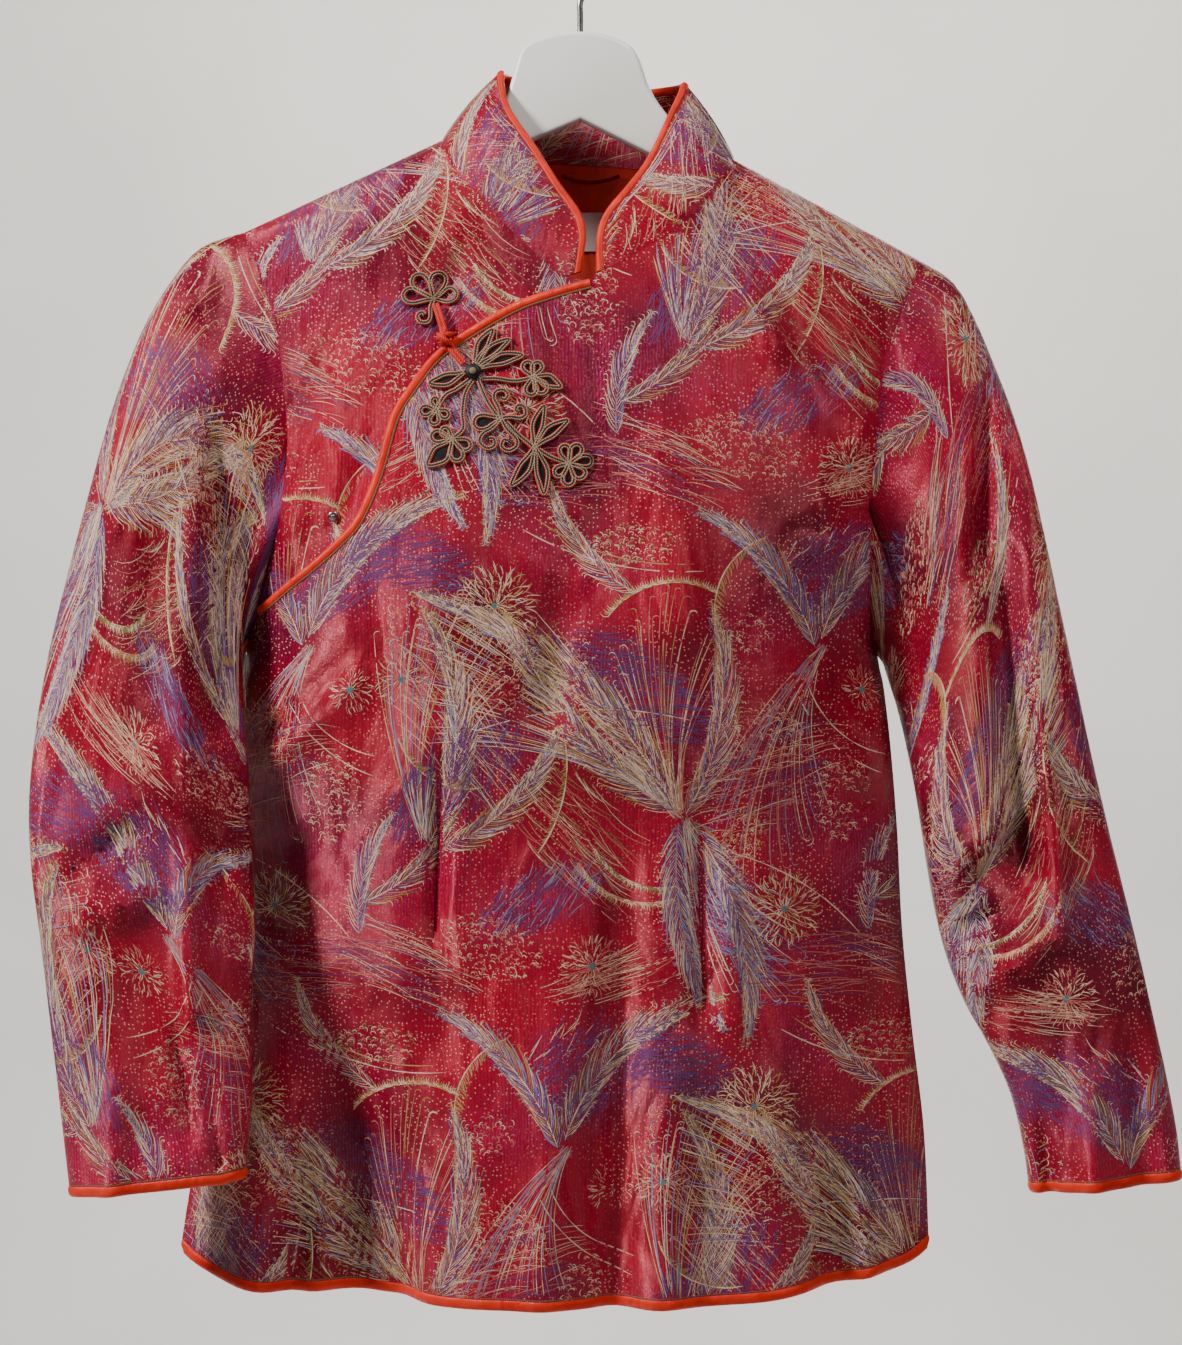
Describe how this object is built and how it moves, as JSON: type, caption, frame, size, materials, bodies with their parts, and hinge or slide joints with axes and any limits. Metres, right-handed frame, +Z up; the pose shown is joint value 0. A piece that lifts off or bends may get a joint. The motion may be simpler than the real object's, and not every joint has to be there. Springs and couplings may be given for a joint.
{
  "type": "padded satin jacket on a hanger",
  "caption": "Padded brocade jacket with a stand collar, an overlap that crosses to one side, cord frogs and long set-in sleeves, hanging on a moulded hanger with a wire hook.",
  "frame": {"origin": "where the rod touches the hook: the top of the hook's ring", "axes": "+Z up, the jacket's front faces -Y, +X to the viewer's right"},
  "size_m": [0.6749, 0.1278, 0.8201],
  "materials": {
    "brocade": "deep red satin brocade, thinly padded",
    "satin_binding": "glossy orange-red satin binding",
    "lining": "plain orange-red lining",
    "cord": "flat braided cord in brown, beige and black",
    "red_cord": "braided red cord",
    "label": "blank woven tape",
    "plastic": "smooth cream-white moulding",
    "steel": "bright drawn wire and pressed metal"
  },
  "bodies": {
    "root": {"frog_upper_flower": "cord", "frog_sprig": "cord", "frog_flower_left": "cord", "frog_curls": "cord", "frog_daisy": "cord", "frog_flower_right": "cord", "frog_flame_1": "cord", "frog_flame_2": "cord", "frog_flame_3": "cord", "frog_leaf": "cord", "frog_star_1": "cord", "frog_star_2": "cord", "frog_star_3": "cord", "frog_star_4": "cord", "frog_stem_1": "cord", "frog_stem_2": "cord", "frog_stem_3": "cord", "frog_stem_4": "cord", "frog_hub": "cord", "back": "brocade", "front_upper": "brocade", "front_under": "brocade", "sleeve_left": "brocade", "sleeve_right": "brocade", "collar": "brocade", "hanging_loop": "brocade", "binding_cuff_left": "satin_binding", "binding_cuff_right": "satin_binding", "binding_collar": "satin_binding", "binding_overlap": "satin_binding", "binding_hem": "satin_binding", "frog_strap": "red_cord", "frog_loop": "red_cord", "knot": "red_cord", "neck_lining": "lining", "label": "label", "hanger": "plastic", "hook": "steel", "snap": "steel"}
  },
  "joints": []
}
